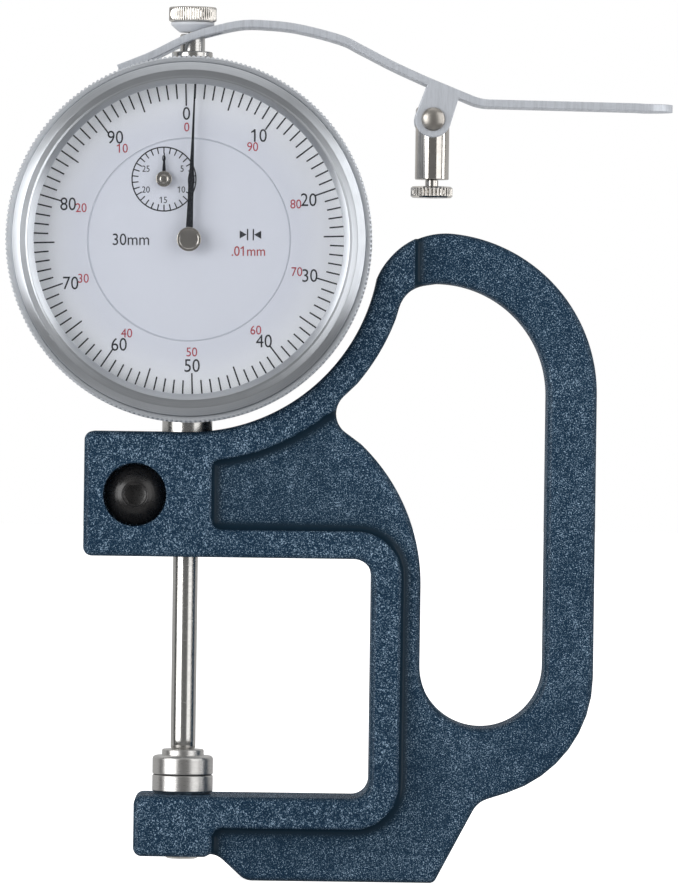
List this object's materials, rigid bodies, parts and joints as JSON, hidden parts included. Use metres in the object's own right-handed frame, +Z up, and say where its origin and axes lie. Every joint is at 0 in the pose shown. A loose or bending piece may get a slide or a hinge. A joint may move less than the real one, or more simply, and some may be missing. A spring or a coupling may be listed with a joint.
{
  "type": "dial thickness gauge",
  "caption": "Hand-held dial thickness gauge: C-shaped cast frame with finger handle, round dial, flat contacts and lifting lever.",
  "frame": {"origin": "middle of the flat foot under the frame, on the plane that the gauge stands on", "axes": "+Z up along the spindle, -Y to the front where the dial faces, +X towards the handle; standing upright as in the picture"},
  "size_m": [0.1058, 0.0231, 0.139],
  "materials": {
    "painted_iron": "dark blue hammered enamel on cast iron, fine pale flecks",
    "steel": "ground and polished steel",
    "nickel": "bright nickel plate",
    "black_oxide": "black oxide, slightly oiled",
    "satin_aluminium": "satin turned aluminium",
    "zinc": "light grey zinc plate on stamped sheet",
    "brass": "plain machined brass",
    "dial_enamel": "pale blue-grey printed dial",
    "black_lacquer": "black lacquer",
    "pale_plastic": "pale moulded plastic",
    "clear_glass": "clear dial crystal"
  },
  "bodies": {
    "gauge_frame": {"frame": "painted_iron", "clamp_screw": "black_oxide", "anvil": "steel", "stem": "steel", "upper_bush": "steel", "case": "satin_aluminium", "back_cover": "satin_aluminium", "bezel_retaining_ring": "steel", "dial_center": "dial_enamel", "middle_plate": "brass", "front_plate": "brass", "rear_bridge": "brass", "guide_rail": "steel", "return_spring": "steel", "spring_peg": "steel", "lever_post": "nickel", "hairspring": "steel", "back_cover_screw_1": "steel", "back_cover_screw_2": "steel", "back_cover_screw_3": "steel", "back_cover_screw_4": "steel", "movement_screw_1": "steel", "movement_screw_2": "steel", "movement_screw_3": "steel", "rear_pillar_1": "brass", "rear_pillar_2": "brass", "rear_pillar_3": "brass", "front_pillar_1": "brass", "front_pillar_2": "brass", "front_pillar_3": "brass"},
    "spindle": {"spindle": "steel", "contact_point": "steel", "guide_pin": "steel", "knob_bowl": "pale_plastic", "lift_knob": "nickel"},
    "drive_shaft": {"drive_shaft": "steel"},
    "main_hand": {"main_hand": "black_lacquer", "hand_hub": "nickel", "center_shaft": "steel"},
    "counter_hand": {"counter_hand": "black_lacquer", "counter_hub": "nickel", "counter_gear": "steel"},
    "take_up_gear": {"take_up_gear": "steel"},
    "bezel": {"bezel": "satin_aluminium", "crystal": "clear_glass", "dial_ring": "dial_enamel"},
    "lever": {"lever": "zinc", "lever_rivet": "nickel"},
    "thumb_screw": {"thumb_screw": "nickel"}
  },
  "joints": [
    {"name": "spindle_travel", "type": "slide", "parent": "gauge_frame", "child": "spindle", "axis": [0, 0, 1], "range_m": [0, 0.03], "stiffness_N_per_m": 12, "springref_m": -0.03, "deforming": ["return_spring"]},
    {"name": "drive_turn", "type": "hinge", "parent": "gauge_frame", "child": "drive_shaft", "pos_m": [-0.02919, 0, 0.09183], "axis": [0, 1, 0], "range_deg": [-720, 0]},
    {"name": "main_hand_turn", "type": "hinge", "parent": "gauge_frame", "child": "main_hand", "pos_m": [-0.0252, 0, 0.10165], "axis": [0, 1, 0], "range_deg": [0, 10800]},
    {"name": "counter_turn", "type": "hinge", "parent": "gauge_frame", "child": "counter_hand", "pos_m": [-0.0293, 0, 0.11115], "axis": [0, 1, 0], "range_deg": [0, 360]},
    {"name": "take_up_turn", "type": "hinge", "parent": "gauge_frame", "child": "take_up_gear", "pos_m": [-0.03438, 0, 0.10695], "axis": [0, 1, 0], "range_deg": [-720, 0]},
    {"name": "bezel_turn", "type": "hinge", "parent": "gauge_frame", "child": "bezel", "pos_m": [-0.0252, 0, 0.10165], "axis": [0, 1, 0], "continuous": true},
    {"name": "lever_lift", "type": "hinge", "parent": "gauge_frame", "child": "lever", "pos_m": [0.0133, 0, 0.12145], "axis": [0, 1, 0], "range_deg": [0, 27.5]},
    {"name": "thumb_screw_turn", "type": "hinge", "parent": "gauge_frame", "child": "thumb_screw", "pos_m": [0.0133, 0, 0.10995], "axis": [0, 0, 1], "continuous": true}
  ],
  "couplings": [
    {"joint": "drive_turn", "follows": "spindle_travel", "rad_per_m": -418.88},
    {"joint": "main_hand_turn", "follows": "spindle_travel", "rad_per_m": 6283.2},
    {"joint": "counter_turn", "follows": "spindle_travel", "rad_per_m": 209.44},
    {"joint": "take_up_turn", "follows": "spindle_travel", "rad_per_m": -418.88},
    {"joint": "lever_lift", "follows": "spindle_travel", "rad_per_m": 16}
  ]
}
